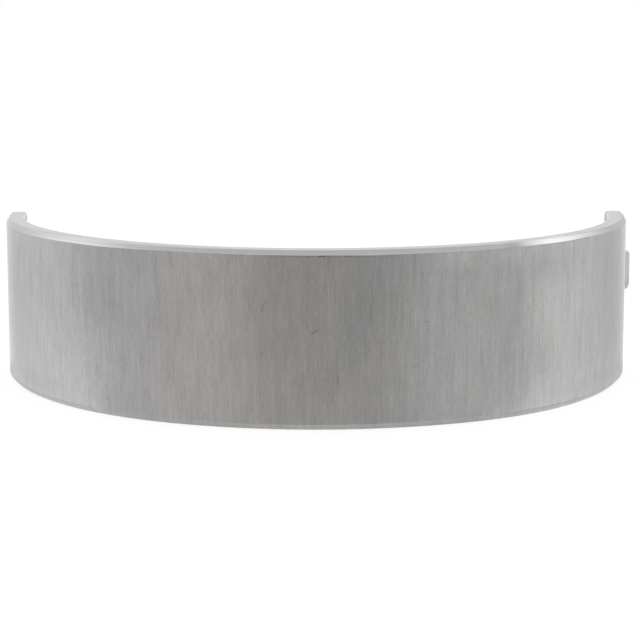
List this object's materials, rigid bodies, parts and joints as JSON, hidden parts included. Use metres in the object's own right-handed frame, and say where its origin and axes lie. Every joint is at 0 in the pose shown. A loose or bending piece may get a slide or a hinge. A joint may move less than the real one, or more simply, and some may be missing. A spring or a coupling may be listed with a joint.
{
  "type": "engine bearing shell",
  "caption": "Half-round steel-backed plain bearing shell with chamfered rims, flat parting faces and a pressed locating tang; lines half of an engine shaft housing.",
  "frame": {"origin": "on the bearing axis, at the middle of the shell's width, in the plane of the parting faces", "axes": "+Z along the bearing axis, upwards as the shell stands on its lower rim; +Y out of the parting faces, so the crown of the back is at -Y; +X towards the end that carries the locating tang"},
  "size_m": [0.0688, 0.034, 0.0174],
  "materials": {
    "steel_back": "bare satin steel back with fine grain along the axis, bright turned edges and a dull grey bearing alloy bore"
  },
  "bodies": {
    "root": {"bearing_shell": "steel_back"}
  },
  "joints": []
}
